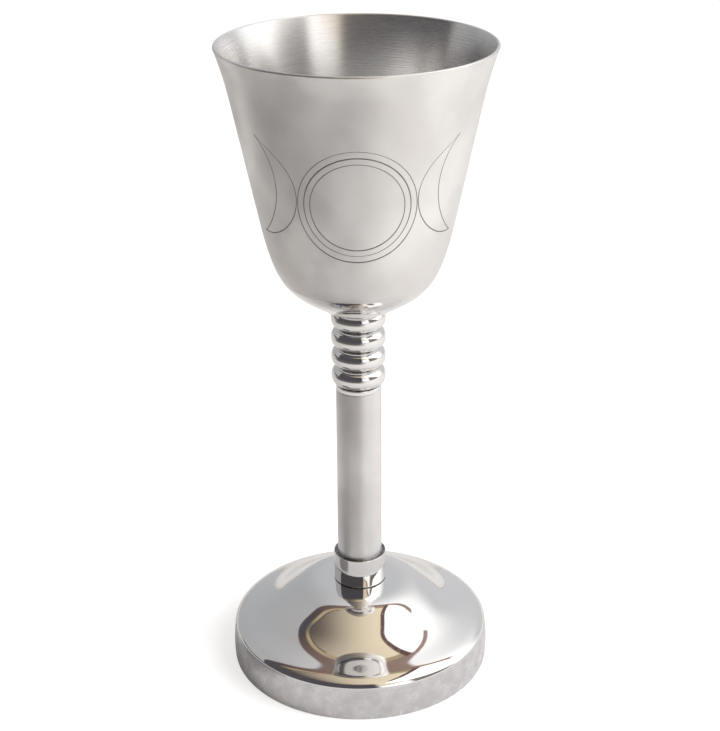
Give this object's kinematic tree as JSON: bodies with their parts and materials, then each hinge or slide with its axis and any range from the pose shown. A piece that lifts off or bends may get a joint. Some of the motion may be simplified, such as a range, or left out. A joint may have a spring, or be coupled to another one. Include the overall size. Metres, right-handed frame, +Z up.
{
  "type": "communion chalice",
  "caption": "Footed metal cup with a bell-shaped bowl, a ringed upper stem, a plain tubular stem and a domed round foot with a straight skirt.",
  "frame": {"origin": "centre of the circle that the foot rests on, on the resting plane", "axes": "+Z up along the common axis of cup, stem and foot; -Y towards the engraved front of the cup; +X to the right of someone facing that front"},
  "size_m": [0.075, 0.075, 0.1821],
  "materials": {
    "satin_steel": "fine satin brushing",
    "polished_steel": "mirror polished stainless steel",
    "zinc_plated_steel": "bright zinc plating"
  },
  "bodies": {
    "root": {"bowl": "satin_steel", "bowl_boss": "polished_steel", "bead_ring_1": "polished_steel", "bead_ring_2": "polished_steel", "bead_ring_3": "polished_steel", "bead_ring_4": "polished_steel", "stem_spigot": "polished_steel", "stem_tube": "satin_steel", "stem_ferrule": "polished_steel", "tie_rod": "zinc_plated_steel", "base_dome": "polished_steel", "clamp_washer": "zinc_plated_steel", "spring_washer": "zinc_plated_steel", "hex_nut": "zinc_plated_steel"}
  },
  "joints": []
}
